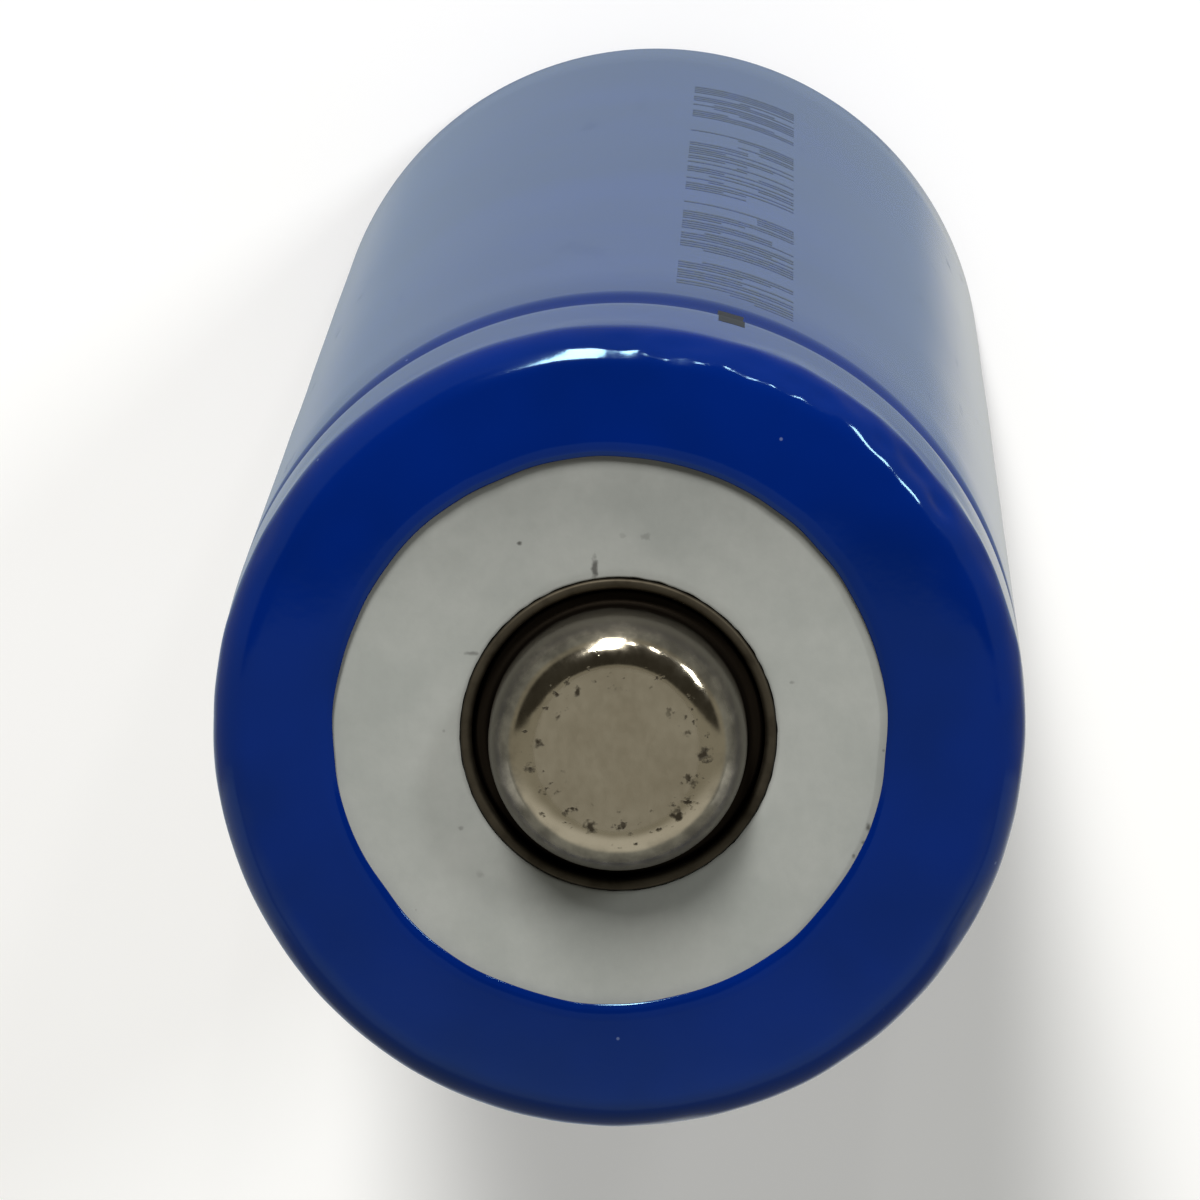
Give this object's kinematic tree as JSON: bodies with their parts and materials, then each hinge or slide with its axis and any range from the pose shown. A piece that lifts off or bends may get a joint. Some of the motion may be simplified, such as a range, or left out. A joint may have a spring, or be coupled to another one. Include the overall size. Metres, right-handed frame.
{
  "type": "cylindrical battery cell",
  "caption": "Upright cylindrical rechargeable cell in a blue shrunk sleeve, with a raised metal button on a white insulating washer at its positive end and a flat bare metal negative face.",
  "frame": {"origin": "centre of the base, on the plane of the sleeve's lower edge, where the cell stands on its negative end", "axes": "+Z along the cell's axis towards the positive button; the wound strips end and the tabs lie towards +X"},
  "size_m": [0.0184, 0.0184, 0.0669],
  "materials": {
    "nickel_plated_steel": "satin",
    "blue_shrink_sleeve": "gloss",
    "white_washer_board": "matt",
    "natural_gasket": "matt",
    "plain_aluminium": "satin",
    "insulator_disc": "matt",
    "carbon_filled_polymer": "matt",
    "nickel_plated_cap": "satin",
    "nickel_button": "satin",
    "separator_film": "matt",
    "positive_coating": "matt",
    "negative_coating": "matt",
    "green_roll_tape": "gloss",
    "nickel_tab": "satin",
    "amber_tape": "gloss"
  },
  "bodies": {
    "root": {"can": "nickel_plated_steel", "sleeve": "blue_shrink_sleeve", "top_washer": "white_washer_board", "crimp_gasket": "natural_gasket", "contact_plate": "plain_aluminium", "cid_insulator_ring": "insulator_disc", "burst_disc": "plain_aluminium", "ptc_ring": "carbon_filled_polymer", "top_cap": "nickel_plated_cap", "button_cap": "nickel_button", "separator_inner": "separator_film", "positive_electrode": "positive_coating", "separator_outer": "separator_film", "negative_electrode": "negative_coating", "centre_pin": "nickel_plated_steel", "roll_tape": "green_roll_tape", "lower_insulator": "insulator_disc", "upper_insulator": "insulator_disc", "negative_tab": "nickel_tab", "positive_tab": "plain_aluminium", "negative_tab_tape": "amber_tape", "positive_tab_tape": "amber_tape"}
  },
  "joints": []
}
